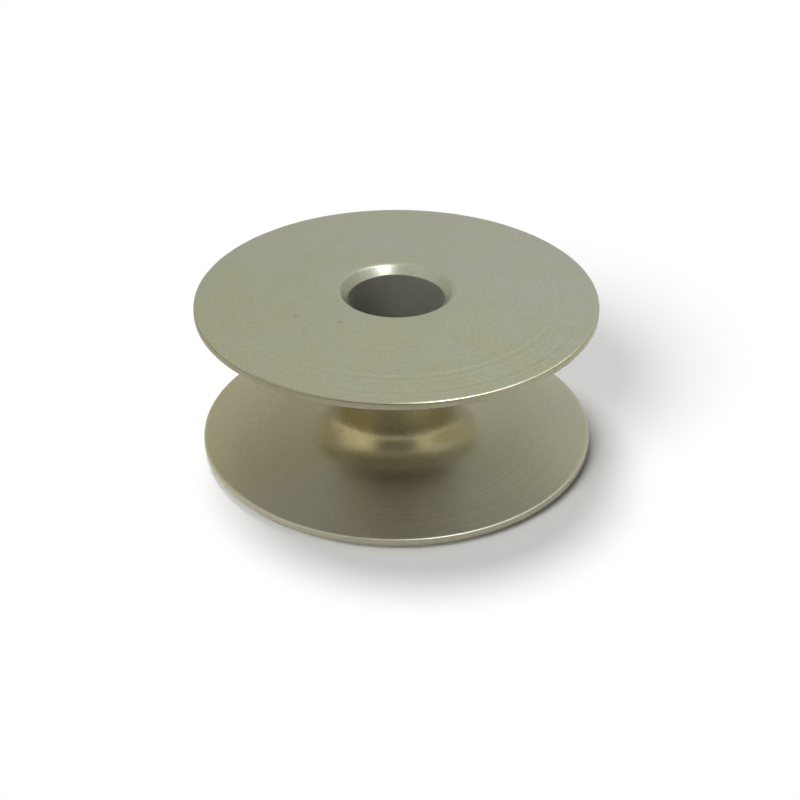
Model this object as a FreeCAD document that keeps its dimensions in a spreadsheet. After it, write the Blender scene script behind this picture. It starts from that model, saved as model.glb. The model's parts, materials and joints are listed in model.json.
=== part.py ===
import FreeCAD, Part
import Sketcher
import os

# Sewing machine bobbin, turned in one piece: two thin dished flanges on a tubular hub.
# Lengths are in millimetres. The hub's axis is Z, and its lower end stands on Z = 0.

doc = FreeCAD.newDocument("bobbin_model")

# Driving dimensions, one spreadsheet row each
drivingSizes = (
    ("flangeDiameter", 25.0, "outside diameter of both flanges"),
    ("overallWidth", 10.8, "from one end of the hub to the other"),
    ("boreDiameter", 6.0, "bore that turns on the case's stud and the winder's spindle"),
    ("hubWall", 0.6, "wall of the barrel that the thread is wound on"),
    ("flangeThickness", 0.5, "thickness of a flange, the same from the hub to the rim"),
    ("dishDepth", 0.45, "how far each flange's outer edge lies back from its end of the hub"),
    ("seatDiameter", 9.4, "flat ring around the bore that the bobbin stands on"),
    ("rootRadius", 2.1, "hollow rounding between the barrel and a flange"),
    ("mouthWidth", 0.55, "how far a countersink widens each mouth of the bore all round"),
    ("mouthDepth", 0.6, "depth of the countersinks"),
    ("edgeBreak", 0.12, "small bevel on the edges of the rims"),
)
sheet = doc.addObject("Spreadsheet::Sheet", "sizes")
for row, (alias, size, meaning) in enumerate(drivingSizes, start=1):
    sheet.set(f"A{row}", meaning)
    sheet.set(f"B{row}", str(size))
    sheet.setAlias(f"B{row}", alias)
doc.recompute()

# The bobbin is the same on both sides of its own XY plane, and is raised to stand on Z = 0
body = doc.addObject("PartDesign::Body", "Bobbin")
body.Label = "bobbin"
body.setExpression(".Placement.Base.z", "sizes.overallWidth / 2")
originPlanes = {plane.Role: plane for plane in body.Origin.OriginFeatures}

# Sharp corners of the upper half's section, from the bore at mid-width round to the countersink's foot
boreRadius = sheet.boreDiameter / 2
hubRadius = boreRadius + sheet.hubWall
mouthRadius = boreRadius + sheet.mouthWidth
seatRadius = sheet.seatDiameter / 2
flangeRadius = sheet.flangeDiameter / 2
faceRadius = flangeRadius - sheet.edgeBreak
hubEnd = sheet.overallWidth / 2
rimTop = hubEnd - sheet.dishDepth
rimFoot = rimTop - sheet.flangeThickness
dishSlope = sheet.dishDepth / (faceRadius - seatRadius)
rootHeight = rimFoot + dishSlope * (faceRadius - hubRadius)
corners = [
    FreeCAD.Vector(boreRadius, 0, 0),
    FreeCAD.Vector(hubRadius, 0, 0),
    FreeCAD.Vector(hubRadius, rootHeight, 0),
    FreeCAD.Vector(faceRadius, rimFoot, 0),
    FreeCAD.Vector(flangeRadius, rimFoot + sheet.edgeBreak, 0),
    FreeCAD.Vector(flangeRadius, rimTop - sheet.edgeBreak, 0),
    FreeCAD.Vector(faceRadius, rimTop, 0),
    FreeCAD.Vector(seatRadius, hubEnd, 0),
    FreeCAD.Vector(mouthRadius, hubEnd, 0),
    FreeCAD.Vector(boreRadius, hubEnd - sheet.mouthDepth, 0),
]

section = body.newObject("Sketcher::SketchObject", "HalfSection")
section.AttachmentSupport = [(originPlanes["XZ_Plane"], "")]
section.MapMode = "FlatFace"
for start, end in zip(corners, corners[1:] + corners[:1]):
    section.addGeometry(Part.LineSegment(start, end), False)

# The section's lines in order, and the ends of a line that a constraint can name
(midWidth, barrel, innerFace, footBevel, rim, topBevel,
 outerFace, seat, countersink, boreWall) = range(len(corners))
lineStart, lineEnd = 1, 2
origin = (-1, 1)
midPlane = -1

for line in range(len(corners)):
    following = (line + 1) % len(corners)
    section.addConstraint(Sketcher.Constraint("Coincident", line, lineEnd, following, lineStart))
for line in (barrel, rim, boreWall):
    section.addConstraint(Sketcher.Constraint("Vertical", line))
for point in (lineStart, lineEnd):
    section.addConstraint(Sketcher.Constraint("PointOnObject", midWidth, point, midPlane))
section.addConstraint(Sketcher.Constraint("Horizontal", seat))
section.addConstraint(Sketcher.Constraint("Parallel", outerFace, innerFace))


def bindConstraint(name, constraint, expression):
    index = section.addConstraint(constraint)
    section.renameConstraint(index, name)
    section.setExpression("Constraints." + name, expression)


def dimension(kind, name, fromPoint, toPoint, size, expression):
    bindConstraint(name, Sketcher.Constraint(kind, *fromPoint, *toPoint, size), expression)


dimension("DistanceX", "boreRadius", origin, (boreWall, lineEnd), boreRadius, "sizes.boreDiameter / 2")
dimension("DistanceX", "hubRadius", origin, (barrel, lineStart), hubRadius,
          "sizes.boreDiameter / 2 + sizes.hubWall")
dimension("DistanceX", "mouthRadius", origin, (seat, lineEnd), mouthRadius,
          "sizes.boreDiameter / 2 + sizes.mouthWidth")
dimension("DistanceX", "seatRadius", origin, (seat, lineStart), seatRadius, "sizes.seatDiameter / 2")
dimension("DistanceX", "flangeRadius", origin, (rim, lineEnd), flangeRadius, "sizes.flangeDiameter / 2")
bevelEnds = (("footBevel", footBevel, lineStart, lineEnd), ("topBevel", topBevel, lineEnd, lineStart))
for name, bevel, inner, outer in bevelEnds:
    dimension("DistanceX", name + "Width", (bevel, inner), (bevel, outer),
              sheet.edgeBreak, "sizes.edgeBreak")
    dimension("DistanceY", name + "Height", (bevel, lineStart), (bevel, lineEnd),
              sheet.edgeBreak, "sizes.edgeBreak")
dimension("DistanceY", "hubEnd", origin, (seat, lineStart), hubEnd, "sizes.overallWidth / 2")
dimension("DistanceY", "dishDepth", (outerFace, lineStart), (outerFace, lineEnd),
          sheet.dishDepth, "sizes.dishDepth")
dimension("DistanceY", "flangeThickness", (innerFace, lineEnd), (outerFace, lineStart),
          sheet.flangeThickness, "sizes.flangeThickness")
dimension("DistanceY", "mouthDepth", (countersink, lineEnd), (countersink, lineStart),
          sheet.mouthDepth, "sizes.mouthDepth")

# The root's rounding keeps its sharp corner, which the dimensions above still hold
section.fillet(barrel, lineEnd, sheet.rootRadius, True, True)
rootArc = next(i for i, curve in enumerate(section.Geometry) if isinstance(curve, Part.ArcOfCircle))
bindConstraint("rootRadius", Sketcher.Constraint("Radius", rootArc, sheet.rootRadius), "sizes.rootRadius")
doc.recompute()
if not section.FullyConstrained:
    raise RuntimeError("the section's sizes leave it free to move")

# Upper half turned about the hub's axis, and its mirror image below mid-width
upperHalf = body.newObject("PartDesign::Revolution", "UpperHalf")
upperHalf.Profile = section
upperHalf.ReferenceAxis = (section, ["V_Axis"])
upperHalf.Angle = 360.0
doc.recompute()
bothHalves = body.newObject("PartDesign::Mirrored", "BothHalves")
bothHalves.Originals = [upperHalf]
bothHalves.MirrorPlane = (originPlanes["XY_Plane"], [""])
bothHalves.Refine = True
body.Tip = bothHalves
doc.recompute()

# Every object has to be whole before anything is written
for item in doc.Objects:
    if {"Invalid", "Error"} & set(item.State):
        raise RuntimeError(f"{item.Name} did not build: {item.State}")
if body.Shape.isNull() or not body.Shape.isValid():
    raise RuntimeError("the bobbin has no valid shape")
if len(body.Shape.Solids) != 1:
    raise RuntimeError("the bobbin is not one solid")

os.makedirs("parts", exist_ok=True)
body.Shape.exportStep(f"parts/{body.Label}.step")
box = body.Shape.optimalBoundingBox()
print(f"{body.Label}: {box.XLength:.2f} x {box.YLength:.2f} x {box.ZLength:.2f} mm,"
      f" {body.Shape.Volume:.1f} mm3, from Z = {box.ZMin:.3f}")
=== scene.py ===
import json
import math

import bpy
from mathutils import Matrix, Vector


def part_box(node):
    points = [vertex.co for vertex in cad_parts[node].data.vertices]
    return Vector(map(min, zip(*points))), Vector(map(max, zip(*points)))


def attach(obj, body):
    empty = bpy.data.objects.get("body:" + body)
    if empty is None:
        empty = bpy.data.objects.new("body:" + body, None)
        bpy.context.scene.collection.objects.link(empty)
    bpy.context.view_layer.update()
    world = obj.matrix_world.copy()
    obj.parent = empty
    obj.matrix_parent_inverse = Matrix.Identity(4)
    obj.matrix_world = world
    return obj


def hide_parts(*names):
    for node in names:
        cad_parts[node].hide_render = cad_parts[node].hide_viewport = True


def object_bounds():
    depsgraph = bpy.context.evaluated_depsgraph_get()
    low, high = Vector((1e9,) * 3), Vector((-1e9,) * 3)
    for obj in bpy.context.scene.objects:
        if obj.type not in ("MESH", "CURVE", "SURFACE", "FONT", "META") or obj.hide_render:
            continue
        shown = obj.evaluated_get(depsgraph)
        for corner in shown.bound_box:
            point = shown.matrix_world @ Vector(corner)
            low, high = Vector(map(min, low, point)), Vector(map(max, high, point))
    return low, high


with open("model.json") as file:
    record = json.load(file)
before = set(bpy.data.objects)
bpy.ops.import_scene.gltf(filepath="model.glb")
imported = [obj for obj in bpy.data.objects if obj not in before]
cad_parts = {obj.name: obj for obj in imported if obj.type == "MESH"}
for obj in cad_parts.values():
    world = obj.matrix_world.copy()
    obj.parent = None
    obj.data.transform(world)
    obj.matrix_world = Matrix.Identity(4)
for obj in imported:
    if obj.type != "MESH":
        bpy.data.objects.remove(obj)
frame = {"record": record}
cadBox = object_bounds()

scene = bpy.context.scene
mm = 0.001


# A socket of a node tree. Sums and products of sockets add Math nodes.
class Wire:
    def __init__(self, graph, socket):
        self.graph = graph
        self.socket = socket

    def math(self, operation, *values):
        return self.graph.node("ShaderNodeMath", {"operation": operation}, dict(enumerate(values)))

    def __add__(self, other):
        return self.math("ADD", self, other)

    def __radd__(self, other):
        return self.math("ADD", other, self)

    def __sub__(self, other):
        return self.math("SUBTRACT", self, other)

    def __rsub__(self, other):
        return self.math("SUBTRACT", other, self)

    def __mul__(self, other):
        return self.math("MULTIPLY", self, other)

    def __rmul__(self, other):
        return self.math("MULTIPLY", other, self)

    def __truediv__(self, other):
        return self.math("DIVIDE", self, other)

    def __gt__(self, other):
        return self.math("GREATER_THAN", self, other)

    def root(self):
        return self.math("SQRT", self)

    def floor(self):
        return self.math("FLOOR", self)

    def size(self):
        return self.math("ABSOLUTE", self)

    # 0 below low, 1 above high, and smooth between them
    def rise(self, low, high):
        return self.graph.node("ShaderNodeMapRange", {"interpolation_type": "SMOOTHSTEP"},
                               {"Value": self, "From Min": low, "From Max": high})

    # 1 at a value, falling to 0 at a distance of width from it
    def near(self, value, width):
        return 1 - (self - value).size().rise(0, width)


class Graph:
    def __init__(self, tree):
        self.tree = tree

    # settings are the node's own properties, set before its sockets; inputs go by identifier, name or number
    def node(self, kind, settings=None, inputs=None, output=0):
        made = self.tree.nodes.new(kind)
        for name, value in (settings or {}).items():
            setattr(made, name, value)
        for key, value in (inputs or {}).items():
            socket = self.findSocket(made.inputs, key)
            if isinstance(value, Wire):
                self.tree.links.new(value.socket, socket)
            else:
                socket.default_value = value
        return Wire(self, self.findSocket(made.outputs, output)) if made.outputs else None

    def findSocket(self, sockets, key):
        if isinstance(key, int):
            return sockets[key]
        for socket in sockets:
            if socket.identifier == key:
                return socket
        return sockets[key]

    def mixColor(self, factor, first, second):
        return self.node("ShaderNodeMix", {"data_type": "RGBA"},
                         {"Factor_Float": factor, "A_Color": first, "B_Color": second}, "Result_Color")

    def noise(self, dimensions, place, scale, detail=2.0, roughness=0.5):
        socket = "W" if dimensions == "1D" else "Vector"
        return self.node("ShaderNodeTexNoise", {"noise_dimensions": dimensions},
                         {socket: place, "Scale": scale, "Detail": detail, "Roughness": roughness})

    # a vector or a colour times a number
    def scale(self, vector, amount):
        return self.node("ShaderNodeVectorMath", {"operation": "SCALE"}, {0: vector, "Scale": amount})

    # the X, Y and Z of a vector
    def split(self, vector):
        parts = self.node("ShaderNodeSeparateXYZ", inputs={0: vector}).socket.node
        return [Wire(self, socket) for socket in parts.outputs]


def newMaterial(name):
    material = bpy.data.materials.new(name)
    material.use_nodes = True
    material.node_tree.nodes.clear()
    return material, Graph(material.node_tree)


# Where a point of the bobbin is, in millimetres
class Spot:
    def __init__(self, graph):
        self.place = graph.scale(graph.node("ShaderNodeTexCoord", output="Object"), 1 / mm)
        self.x, self.y, self.z = graph.split(self.place)
        self.radius = (self.x * self.x + self.y * self.y).root()
        self.along = graph.node("ShaderNodeAttribute", {"attribute_name": "sectionLength"}, output="Fac") / mm

    # how far a point lies along a way, which is a direction in X and Y
    def towards(self, way):
        return way[0] * self.x + way[1] * self.y

    # 1 where a way leads straight out from the axis, and 0 square to it
    def facing(self, way):
        return self.towards(way) / self.radius


# In the dictionaries of the finish, colours are linear and lengths are in millimetres. A pair after a
# name that ends in Rise, Reach or Edge says where a change starts and where it ends.

# Turning marks follow the section: faint all over, clearer in patches and clearest at the front's right,
# where their stripes in the colour are a painted sheen
turningMarks = {
    "fine": {"scale": 1 / 0.28, "detail": 3.0, "roughness": 0.6},
    "broad": {"scale": 1.4, "detail": 2.0},
    "patches": {"scale": 0.22, "detail": 1.0},
    "patchRise": (0.35, 0.7),
    "frontWay": (0.42, -0.91),
    "frontRise": (0.55, 0.95),
    "frontReach": (8.0, 10.0),
    "allOver": 0.12,
    "inPatches": 0.22,
    # painted sheen: the marks are clearest at the front's right
    "sheenAtFront": 1.1,
    "shade": 0.30,
    "depth": 0.0012,
    "broadGrit": 0.05,
}


def cutMarks(graph, spot, look):
    fine = graph.noise("1D", spot.along, **look["fine"])
    broad = graph.noise("1D", spot.along, **look["broad"])
    patches = graph.noise("3D", spot.place, **look["patches"]).rise(*look["patchRise"])
    # the front's right, where the marks' colour stripes are a painted sheen
    front = spot.facing(look["frontWay"]).rise(*look["frontRise"]) * spot.radius.rise(*look["frontReach"])
    clearness = look["allOver"] + look["inPatches"] * patches + look["sheenAtFront"] * front
    return fine, broad, patches, clearness


# The spool space is browner and rougher than the outer faces. Its greyer right side and lighter front are
# painted light, the darker sides of the root are painted shade, and the left of the barrel is brightest as
# painted light
spoolSpace = {
    "share": 0.8,
    "brown": (0.395, 0.368, 0.225, 1),
    # painted light: the paler grey towards the right
    "grey": (0.52, 0.50, 0.355, 1),
    "litGreyWay": (1, 0.6),
    "litGreyReach": (-4, 11),
    # painted light: the lighter, greyer front of the spool space beyond the hub's root
    "front": (0.455, 0.43, 0.40, 1),
    "frontWay": (0, -1),
    "frontRise": (0.45, 1.0),
    "frontReach": (4.3, 5.2),
    "hubBrown": (0.405, 0.357, 0.198, 1),
    "hubReach": (4.1, 5.0),
    # painted shade on the sides of the root's rounding
    "rootShadeBrown": (0.335, 0.295, 0.150, 1),
    "rootInnerReach": (3.9, 4.5),
    "rootOuterReach": (4.9, 5.9),
    "rootSideRise": (0.6, 0.92),
    # painted light on the left of the barrel
    "barrelPaintedBright": (0.56, 0.485, 0.265, 1),
    "barrelReach": (3.65, 4.6),
    "brightReach": (0.5, 3.2),
    "roughness": 0.42,
    "hubRoughness": 0.30,
    "film": 0.2,
    "filmReach": (4.5, 9.0),
}


# space is the mask of the spool space without the bore
def tintSpoolSpace(graph, spot, look, space):
    radius = spot.radius
    hub = space * (1 - radius.rise(*look["hubReach"]))
    barrel = space * (1 - radius.rise(*look["barrelReach"]))
    # painted shade: the sides of the root's rounding
    rootShadeSides = radius.rise(*look["rootInnerReach"]) * (1 - radius.rise(*look["rootOuterReach"]))
    rootShadeSides = rootShadeSides * (spot.x / radius).size().rise(*look["rootSideRise"])
    # painted light at the front beyond the hub's root
    front = spot.facing(look["frontWay"]).rise(*look["frontRise"]) * radius.rise(*look["frontReach"])
    # painted light towards the right
    litGreyer = spot.towards(look["litGreyWay"]).rise(*look["litGreyReach"])
    tint = graph.mixColor(litGreyer, look["brown"], look["grey"])
    tint = graph.mixColor(front, tint, look["front"])
    tint = graph.mixColor(hub, tint, look["hubBrown"])
    tint = graph.mixColor(rootShadeSides, tint, look["rootShadeBrown"])
    # painted light on the left of the barrel
    tint = graph.mixColor(barrel * (0 - spot.x).rise(*look["brightReach"]), tint, look["barrelPaintedBright"])
    return tint, hub


# Each rim is a wall between two edges. The walls are darker than the plate as painted shade, and paler
# towards the right and on the lower rim as painted light. The edges are worn a little bright all round and
# carry a painted glint at the front's right, and the upper rim's edges carry a painted dark reflection at the
# front's left. The pairs under a WearAndGlint are a share all round the edge and what the glint adds.
rims = {
    # painted shade: the rim walls' grey, paler towards the right and on the lower rim as painted light
    "wallShadeGrey": (0.24, 0.22, 0.145, 1),
    "wallLitPale": (0.34, 0.32, 0.215, 1),
    "lowerWallLit": (0.46, 0.435, 0.325, 1),
    "paleReach": (2, 9),
    "wallShare": 0.6,
    "wallMottle": 0.4,
    "wallEdge": (-0.05, -0.01),     # from the flange's radius
    "edgeEdge": (-0.15, -0.09),
    "upperReach": (2, 8),           # from the floor
    # painted dark reflection on the upper rim's edges at the front's left
    "darkReflectionBrown": (0.25, 0.21, 0.13, 1),
    "darkReflectionWay": (-0.34, -0.94),
    "darkReflectionRise": (0.88, 0.97),
    "darkReflectionShare": 0.6,
    # edge wear all round, with a painted glint at the front's right where the edges are brightest
    "wearAndGlintBright": (0.80, 0.78, 0.62, 1),
    "glintWay": (0.5, -0.866),
    "glintRise": (0.85, 0.94),
    "chips": {"scale": 1.6, "detail": 2.0},
    "chipRise": (0.35, 0.6),
    "chipShare": 0.55,
    "upperWearAndGlint": {"bright": (0.12, 0.6), "polish": (0, 0.16)},
    "lowerWearAndGlint": {"bright": (0.22, 0.15), "polish": (0.04, 0.04)},
}


def rimWearAndPaintedLight(graph, spot, look, plate, mottle):
    fromRim = spot.radius - cadBox[1].x / mm
    wall = fromRim.rise(*look["wallEdge"])
    edge = fromRim.rise(*look["edgeEdge"]) * (1 - wall)
    upper = spot.z.rise(*look["upperReach"])
    lower = 1 - upper
    chips = graph.noise("3D", spot.place, **look["chips"]).rise(*look["chipRise"])
    # painted glint on the edges at the front's right, broken up by chips
    paintedGlint = spot.facing(look["glintWay"]).rise(*look["glintRise"])
    paintedGlint = paintedGlint * (1 - look["chipShare"] + look["chipShare"] * chips)
    # painted dark reflection: the upper edges at the front's left
    darkReflection = spot.facing(look["darkReflectionWay"]).rise(*look["darkReflectionRise"]) * upper

    def edgeShare(name):
        pairs = zip(look["upperWearAndGlint"][name], look["lowerWearAndGlint"][name])
        allRound, added = (high + (low - high) * lower for high, low in pairs)
        return edge * (allRound + added * paintedGlint)

    # brown of the painted dark reflection on the upper edges
    plate = graph.mixColor(edge * darkReflection * look["darkReflectionShare"], plate, look["darkReflectionBrown"])
    # bright edges: a little wear all round and a painted glint at the front's right
    plate = graph.mixColor(edgeShare("bright"), plate, look["wearAndGlintBright"])
    # the walls' tint is painted shade, paler to the right and on the lower rim as painted light
    wallTint = graph.mixColor(spot.x.rise(*look["paleReach"]), look["wallShadeGrey"], look["wallLitPale"])
    wallTint = graph.mixColor(lower, wallTint, look["lowerWallLit"])
    plate = graph.mixColor(wall * (look["wallShare"] + look["wallMottle"] * mottle), plate, wallTint)
    return plate, edgeShare("polish")


# Nickel plate over turned steel: the outer faces, the countersunk lips, the bore and two specks. A film
# is the share of the metal that dull dirt hides.
nickelPlate = {
    "grey": (0.436, 0.440, 0.350, 1),
    "oliveGrey": (0.430, 0.432, 0.268, 1),
    "oliveRise": (0.3, 0.7),
    "oliveWay": (-0.5, -1),
    "oliveReach": (-9, 9),
    "ringGrey": (0.47, 0.468, 0.37, 1),
    "ringRadius": 8.7,
    "ringWidth": 0.10,
    "ringShare": 0.35,
    "lipGrey": (0.42, 0.430, 0.330, 1),
    "lipEdge": (3.4, 3.7),
    "lipReach": (4.74, 4.84),       # from mid-width
    "lipPolish": 0.06,
    "lipFilm": 0.25,
    "boreGrey": (0.37, 0.36, 0.31, 1),
    "boreEdge": (3.02, 3.08),
    "boreGrit": 0.2,
    "boreFilm": 0.33,
    "insideSlope": 0.058,           # the flanges' dish
    "insideReach": (5.30, 5.50),    # from mid-width, carried in to the axis along the dish
    "roughness": 0.36,
    "mottle": {"scale": 1 / 2.4, "detail": 3.0, "roughness": 0.6},
    "grain": {"scale": 1 / 0.22, "detail": 1.5, "roughness": 0.5},
    "grainShade": 0.28,
    "grainGrit": 0.10,
    "grainDepth": 0.0010,
    "speckBrown": (0.23, 0.215, 0.07, 1),
    "speckShare": 0.4,
    "speckCore": 0.4,
    "specks": ((-6.01, -3.22, 10.68, 0.16), (-3.34, -4.11, 10.76, 0.2)),    # X, Y, Z and radius
}


def makeNickelPlate(look, marks, spool, rim):
    material, graph = newMaterial("nickelPlate")
    spot = Spot(graph)
    radius = spot.radius
    mottle = graph.noise("3D", spot.place, **look["mottle"])
    grain = graph.noise("3D", spot.place, **look["grain"])
    fineMarks, broadMarks, patches, clearness = cutMarks(graph, spot, marks)

    # masks of the lips, the bore and the spool space
    midHeight = (cadBox[0].z + cadBox[1].z) / 2 / mm
    reach = (spot.z - midHeight).size()
    lip = (1 - radius.rise(*look["lipEdge"])) * reach.rise(*look["lipReach"])
    bore = (1 - radius.rise(*look["boreEdge"])) * (1 - lip)
    inside = (1 - (reach + look["insideSlope"] * radius).rise(*look["insideReach"])) * (1 - lip)

    # colour, from the plain plate to its specks
    olive = mottle.rise(*look["oliveRise"]) + spot.towards(look["oliveWay"]).rise(*look["oliveReach"])
    plate = graph.mixColor(olive / 2, look["grey"], look["oliveGrey"])
    spoolTint, hub = tintSpoolSpace(graph, spot, spool, inside * (1 - bore))
    plate = graph.mixColor(inside * spool["share"], plate, spoolTint)
    plate = graph.mixColor(bore, plate, look["boreGrey"])
    plate = graph.mixColor(lip, plate, look["lipGrey"])
    ring = radius.near(look["ringRadius"], look["ringWidth"]) * patches * look["ringShare"]
    plate = graph.mixColor(ring, plate, look["ringGrey"])
    plate, edgePolish = rimWearAndPaintedLight(graph, spot, rim, plate, mottle)
    for speckX, speckY, speckZ, size in look["specks"]:
        gap = graph.node("ShaderNodeVectorMath", {"operation": "DISTANCE"},
                         {0: spot.place, 1: (speckX, speckY, speckZ)}, "Value")
        speck = (1 - gap.rise(size * look["speckCore"], size)) * look["speckShare"]
        plate = graph.mixColor(speck, plate, look["speckBrown"])
    # the marks' light and dark stripes are strongest at the front's right, a painted sheen there
    shade = 1 + look["grainShade"] * (grain - 0.5) + marks["shade"] * (fineMarks - 0.5) * clearness
    plate = graph.scale(plate, shade)

    roughness = look["roughness"] + (spool["roughness"] - look["roughness"]) * inside
    roughness = roughness + (spool["hubRoughness"] - spool["roughness"]) * hub
    roughness = roughness + look["grainGrit"] * (grain - 0.5) + marks["broadGrit"] * (broadMarks - 0.5)
    roughness = roughness + look["boreGrit"] * bore - look["lipPolish"] * lip - edgePolish
    metallic = 1 - look["lipFilm"] * lip - look["boreFilm"] * bore
    metallic = metallic - spool["film"] * inside * radius.rise(*spool["filmReach"])
    height = marks["depth"] * fineMarks * clearness + look["grainDepth"] * grain
    bump = graph.node("ShaderNodeBump", inputs={"Strength": 1.0, "Distance": mm, "Height": height})
    shader = graph.node("ShaderNodeBsdfPrincipled", inputs={
        "Base Color": plate, "Metallic": metallic, "Roughness": roughness, "Normal": bump})
    graph.node("ShaderNodeOutputMaterial", inputs={"Surface": shader})
    return material


# The bobbin's section, in metres. Its outside, bore and the depth of its mouths come from the frame.
bobbinSection = {
    "barrelRadius": 3.6 * mm,
    "mouthRadius": 3.55 * mm,
    "seatRadius": 4.7 * mm,
    "flangeThickness": 0.5 * mm,
    "dishDepth": 0.45 * mm,
    "rootRadius": 2.1 * mm,
    "edgeRadius": 0.13 * mm,
    "mouthEdgeRadius": 0.45 * mm,
    "mouthFootRadius": 0.12 * mm,
    "turnSteps": 288,
    "arcSteps": 6,              # of any rounding, and one more for each arcStep of its radius
    "arcStep": 0.06 * mm,
    "spanStep": 0.3 * mm,
}


# Corners as (radius, height above mid-width, rounding), from the middle of the bore round the section
def sectionCorners(sizes, boreRadius, mouthDepth, flangeRadius, halfWidth):
    rimTop = halfWidth - sizes["dishDepth"]
    rimFoot = rimTop - sizes["flangeThickness"]
    slope = sizes["dishDepth"] / (flangeRadius - sizes["seatRadius"])
    rootHeight = rimFoot + slope * (flangeRadius - sizes["barrelRadius"])
    upper = [
        (boreRadius, halfWidth - mouthDepth, sizes["mouthFootRadius"]),
        (sizes["mouthRadius"], halfWidth, sizes["mouthEdgeRadius"]),
        (sizes["seatRadius"], halfWidth, 0),
        (flangeRadius, rimTop, sizes["edgeRadius"]),
        (flangeRadius, rimFoot, sizes["edgeRadius"]),
        (sizes["barrelRadius"], rootHeight, sizes["rootRadius"]),
    ]
    lower = [(radius, -height, rounding) for radius, height, rounding in reversed(upper)]
    return [(boreRadius, 0, 0), *upper, *lower]


# Geometry Nodes: round the section's corners, divide its long spans and sweep it round the axis
def turningTree():
    tree = bpy.data.node_groups.new("turnSection", "GeometryNodeTree")
    tree.is_modifier = True
    for name, kind in (("Section", "Geometry"), ("Sweep Radius", "Float"), ("Turn Steps", "Int"),
                       ("Arc Steps", "Int"), ("Arc Step", "Float"), ("Span Step", "Float"),
                       ("Finish", "Material")):
        tree.interface.new_socket(name, in_out="INPUT", socket_type="NodeSocket" + kind)
    tree.interface.new_socket("Bobbin", in_out="OUTPUT", socket_type="NodeSocketGeometry")
    graph = Graph(tree)
    entry = graph.node("NodeGroupInput").socket.node
    given = {socket.name: Wire(graph, socket) for socket in entry.outputs if socket.name}

    outline = graph.node("GeometryNodeMeshToCurve", inputs={"Mesh": given["Section"]})
    rounding = graph.node("GeometryNodeInputNamedAttribute", {"data_type": "FLOAT"}, {"Name": "rounding"})
    arcPoints = (given["Arc Steps"] + rounding / given["Arc Step"]) * (rounding > 0)
    outline = graph.node("GeometryNodeFilletCurve", {"mode": "POLY"}, {
        "Curve": outline, "Radius": rounding, "Count": arcPoints})

    here = graph.node("GeometryNodeInputPosition")
    nextIndex = graph.node("GeometryNodeOffsetPointInCurve", inputs={"Offset": 1}, output="Point Index")
    there = graph.node("GeometryNodeFieldAtIndex", {"data_type": "FLOAT_VECTOR"},
                       {"Index": nextIndex, "Value": here})
    span = graph.node("ShaderNodeVectorMath", {"operation": "DISTANCE"}, {0: here, 1: there}, "Value")
    outline = graph.node("GeometryNodeSubdivideCurve", inputs={
        "Curve": outline, "Cuts": (span / given["Span Step"]).floor()})
    length = graph.node("GeometryNodeSplineParameter", output="Length")
    outline = graph.node("GeometryNodeStoreNamedAttribute", {"data_type": "FLOAT", "domain": "POINT"}, {
        "Geometry": outline, "Name": "sectionLength", "Value": length})

    path = graph.node("GeometryNodeCurvePrimitiveCircle", {"mode": "RADIUS"}, {
        "Resolution": given["Turn Steps"], "Radius": given["Sweep Radius"]})
    turned = graph.node("GeometryNodeCurveToMesh", inputs={"Curve": path, "Profile Curve": outline})
    turned = graph.node("GeometryNodeSetShadeSmooth", inputs={"Geometry": turned})
    turned = graph.node("GeometryNodeRealizeInstances", inputs={"Geometry": turned})
    turned = graph.node("GeometryNodeSetMaterial", inputs={"Geometry": turned, "Material": given["Finish"]})
    graph.node("NodeGroupOutput", inputs={"Bobbin": turned})
    return tree


def turnBobbin(sizes, finish):
    low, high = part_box("bobbin")
    bore = next(mount for mount in frame["record"]["mounts"] if mount["name"] == "bore")
    width = high.z - low.z
    mouthDepth = (width - bore["dims"]["length_mm"] * mm) / 2
    flangeRadius = high.x
    corners = sectionCorners(sizes, bore["dims"]["r_mm"] * mm, mouthDepth, flangeRadius, width / 2)

    # the sweep turns the section's X outwards from its path and its Y down
    sweepRadius = flangeRadius
    mesh = bpy.data.meshes.new("bobbinSection")
    places = [(radius - sweepRadius, -height, 0) for radius, height, rounding in corners]
    edges = [(i, (i + 1) % len(corners)) for i in range(len(corners))]
    mesh.from_pydata(places, edges, [])
    rounding = mesh.attributes.new("rounding", "FLOAT", "POINT")
    rounding.data.foreach_set("value", [corner[2] for corner in corners])

    section = bpy.data.objects.new("bobbinSection", mesh)
    scene.collection.objects.link(section)
    turning = section.modifiers.new("turning", "NODES")
    tree = turningTree()
    turning.node_group = tree
    values = {"Sweep Radius": sweepRadius, "Turn Steps": sizes["turnSteps"], "Arc Steps": sizes["arcSteps"],
              "Arc Step": sizes["arcStep"], "Span Step": sizes["spanStep"], "Finish": finish}
    for item in tree.interface.items_tree:
        if item.in_out == "INPUT" and item.name in values:
            turning[item.identifier] = values[item.name]

    shaped = section.evaluated_get(bpy.context.evaluated_depsgraph_get())
    turned = bpy.data.meshes.new_from_object(shaped)
    turned.transform(Matrix.Translation((0, 0, low.z + width / 2)))
    turned.name = "turnedBobbin"
    bobbin = bpy.data.objects.new("turnedBobbin", turned)
    scene.collection.objects.link(bobbin)
    bpy.data.objects.remove(section)
    return bobbin


finish = makeNickelPlate(nickelPlate, turningMarks, spoolSpace, rims)
bobbin = turnBobbin(bobbinSection, finish)
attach(bobbin, "root")
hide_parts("bobbin")
print("bobbin turned:", len(bobbin.data.polygons), "faces")


# White floor that keeps the object's shadow
whiteFloor = {
    "side": 0.8,
    "color": (0.95, 0.95, 0.95, 1),
}


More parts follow.
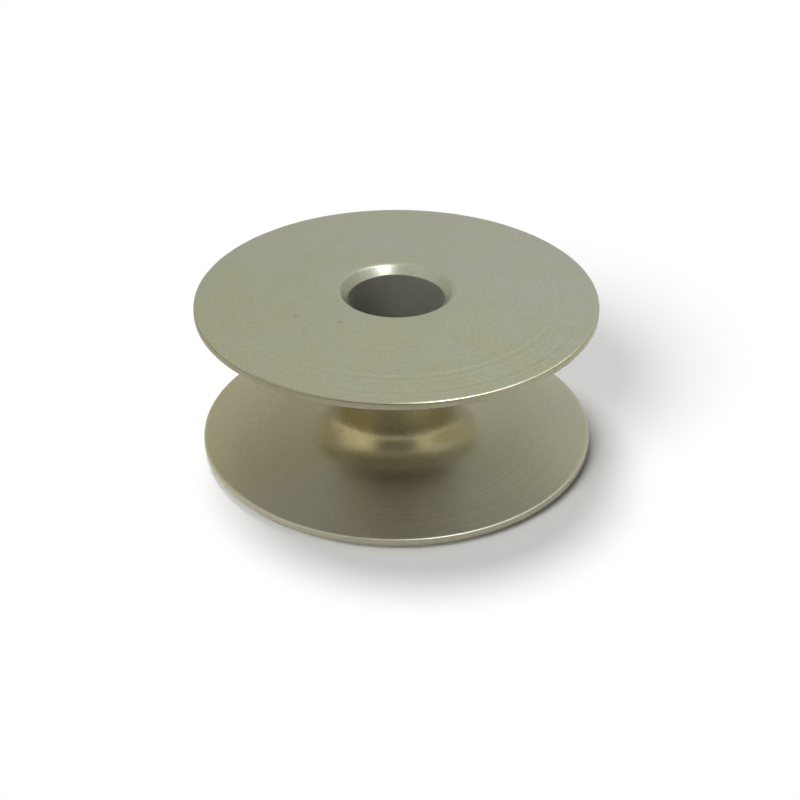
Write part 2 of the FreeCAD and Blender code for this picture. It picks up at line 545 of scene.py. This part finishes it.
def layFloor(look):
    half = look["side"] / 2
    corners = [(-half, -half, 0), (half, -half, 0), (half, half, 0), (-half, half, 0)]
    mesh = bpy.data.meshes.new("floor")
    mesh.from_pydata(corners, [], [(0, 1, 2, 3)])
    material, graph = newMaterial("whiteFloor")
    plain = graph.node("ShaderNodeBsdfDiffuse", inputs={"Color": look["color"]})
    graph.node("ShaderNodeOutputMaterial", inputs={"Surface": plain})
    mesh.materials.append(material)
    floor = bpy.data.objects.new("floor", mesh)
    scene.collection.objects.link(floor)


layFloor(whiteFloor)
print("floor laid")


# A pale room that only glossy reflections show: neutral to cool ahead and overhead, a little warm
# elsewhere, with a dark strip behind the camera. Other light is plain. A pair after a Rise says where a
# change starts and ends.
room = {
    "sides": 0.55,
    "ahead": 0.77,
    "aheadRise": (0.3, 0.8),
    "aheadLow": 0.65,               # share that is left near the horizon
    "aheadLowRise": (0.05, 0.28),
    "aheadLoss": 0.7,               # share that is lost to the left and right
    "aheadLossRise": (0.25, 0.65),
    "aheadLift": (0.95, 0.12),      # share at the horizon, and what is added higher up
    "aheadLiftRise": (0.3, 0.7),
    "front": 0.85,
    "frontRise": (0.1, 0.5),
    "overhead": 0.83,
    "overheadRise": (0.42, 0.68),
    "behindCamera": 0.28,
    "stripSideRise": (0.40, 0.72),
    "stripFrontRise": (0.2, 0.5),
    "stripTopRise": (0.60, 0.78),
    "stripCalm": 0.5,               # share of the warmth that the strip takes away
    "leftToRight": (0.91, 1.09),
    "leftToRightRise": (-0.5, 0.5),
    "neutral": (1, 1, 1, 1),
    "cool": (0.98, 1, 1.08, 1),
    "coolRise": (-0.15, 0.45),
    "warm": (1, 0.95, 0.80, 1),
    "patches": (
        {"towards": (-0.93, -0.15, 0.33), "spread": (0.80, 0.97), "change": 0.25},
        {"towards": (0.93, -0.15, 0.33), "spread": (0.80, 0.97), "change": -0.03},
    ),
    "floorLight": 0.15,
}


def lightRoom(look):
    world = bpy.data.worlds.new("paleRoom")
    world.use_nodes = True
    world.node_tree.nodes.clear()
    graph = Graph(world.node_tree)
    direction = graph.node("ShaderNodeTexCoord", output="Generated")
    x, y, z = graph.split(direction)
    across = x.size()

    ahead = look["aheadLow"] + (1 - look["aheadLow"]) * z.rise(*look["aheadLowRise"])
    ahead = ahead * y.rise(*look["aheadRise"]) * (1 - look["aheadLoss"] * across.rise(*look["aheadLossRise"]))
    front = (0 - y).rise(*look["frontRise"])
    overhead = z.rise(*look["overheadRise"])
    share, lift = look["aheadLift"]
    aheadLevel = look["ahead"] * (share + lift * z.rise(*look["aheadLiftRise"]))
    level = look["sides"] + (aheadLevel - look["sides"]) * ahead + (look["front"] - look["sides"]) * front
    for patch in look["patches"]:
        facing = graph.node("ShaderNodeVectorMath", {"operation": "DOT_PRODUCT"},
                            {0: direction, 1: Vector(patch["towards"]).normalized()}, "Value")
        level = level + patch["change"] * facing.rise(*patch["spread"])
    level = level * (1 - overhead) + look["overhead"] * overhead
    strip = (1 - across.rise(*look["stripSideRise"])) * (0 - y).rise(*look["stripFrontRise"])
    strip = strip * (1 - z.rise(*look["stripTopRise"]))
    level = level * (1 - (1 - look["behindCamera"]) * strip)
    left, right = look["leftToRight"]
    level = level * (left + (right - left) * x.rise(*look["leftToRightRise"]))

    calm = graph.mixColor(x.rise(*look["coolRise"]), look["neutral"], look["cool"])
    warmth = (1 - ahead) * (1 - overhead) * (1 - look["stripCalm"] * strip)
    color = graph.scale(graph.mixColor(warmth, calm, look["warm"]), level)
    reflected = graph.node("ShaderNodeBackground", inputs={"Color": color, "Strength": 1.0})
    plain = graph.node("ShaderNodeBackground", inputs={
        "Color": look["neutral"], "Strength": look["floorLight"]})
    glossy = graph.node("ShaderNodeLightPath", output="Is Glossy Ray")
    both = graph.node("ShaderNodeMixShader", inputs={"Fac": glossy, 1: plain, 2: reflected})
    graph.node("ShaderNodeOutputWorld", inputs={"Surface": both})
    scene.world = world


lightRoom(room)
print("room lit")


# Two area lamps make only the glints. Two soft suns, which the metal doesn't mirror, light the floor and make
# the shadow.
lampDistance = 0.30
lamps = {
    "softbox": {"kind": "AREA", "toLamp": (0.38, -0.18, 0.905), "longWay": (0.447, 0.894, 0),
                "power": 0.12, "size": (0.22, 0.045), "glossy": True},
    "window": {"kind": "AREA", "toLamp": (0.300, -0.360, 0.883), "longWay": (0.77, 0.64, 0),
               "power": 0.14, "size": (0.08, 0.05), "glossy": True},
    "shadowSun": {"kind": "SUN", "toLamp": (-0.16, 0.34, 1.0), "longWay": (1, 0, 0),
                  "power": 1.66, "angle": math.radians(22), "glossy": False},
    "sideSun": {"kind": "SUN", "toLamp": (-0.46, -0.60, 0.65), "longWay": (1, 0, 0),
                "power": 1.98, "angle": math.radians(30), "glossy": False},
}


def hangLamp(name, look):
    data = bpy.data.lights.new(name, look["kind"])
    data.energy = look["power"]
    if look["kind"] == "SUN":
        data.angle = look["angle"]
    else:
        data.shape = "RECTANGLE"
        data.size, data.size_y = look["size"]
    lamp = bpy.data.objects.new(name, data)
    toLamp = Vector(look["toLamp"]).normalized()
    across = toLamp.cross(Vector(look["longWay"])).normalized()
    axes = Matrix((across.cross(toLamp), across, toLamp)).transposed()
    lamp.matrix_world = Matrix.Translation(toLamp * lampDistance) @ axes.to_4x4()
    lamp.visible_glossy = look["glossy"]
    lamp.visible_diffuse = not look["glossy"]
    scene.collection.objects.link(lamp)


for lampName, lampLook in lamps.items():
    hangLamp(lampName, lampLook)
print("lamps hung:", len(lamps))


# The photograph's view: where the camera aims, how far off and how steeply it looks down
photoView = {
    "aim": (0.00022, 0, 0.00267),
    "distance": 0.09463,
    "elevation": math.radians(32.353),
    "lens": 65.81,
    "sensorWidth": 36,
    "clipStart": 0.005,
}


def placeCamera(view):
    data = bpy.data.cameras.new("photoCamera")
    data.lens = view["lens"]
    data.sensor_width = view["sensorWidth"]
    data.clip_start = view["clipStart"]
    camera = bpy.data.objects.new("photoCamera", data)
    forward = Vector((0, math.cos(view["elevation"]), -math.sin(view["elevation"])))
    right = Vector((1, 0, 0))
    axes = Matrix((right, right.cross(forward), -forward)).transposed()
    camera.matrix_world = Matrix.Translation(Vector(view["aim"]) - forward * view["distance"]) @ axes.to_4x4()
    scene.collection.objects.link(camera)
    scene.camera = camera


placeCamera(photoView)
scene.view_settings.view_transform = "Standard"
print("camera placed")
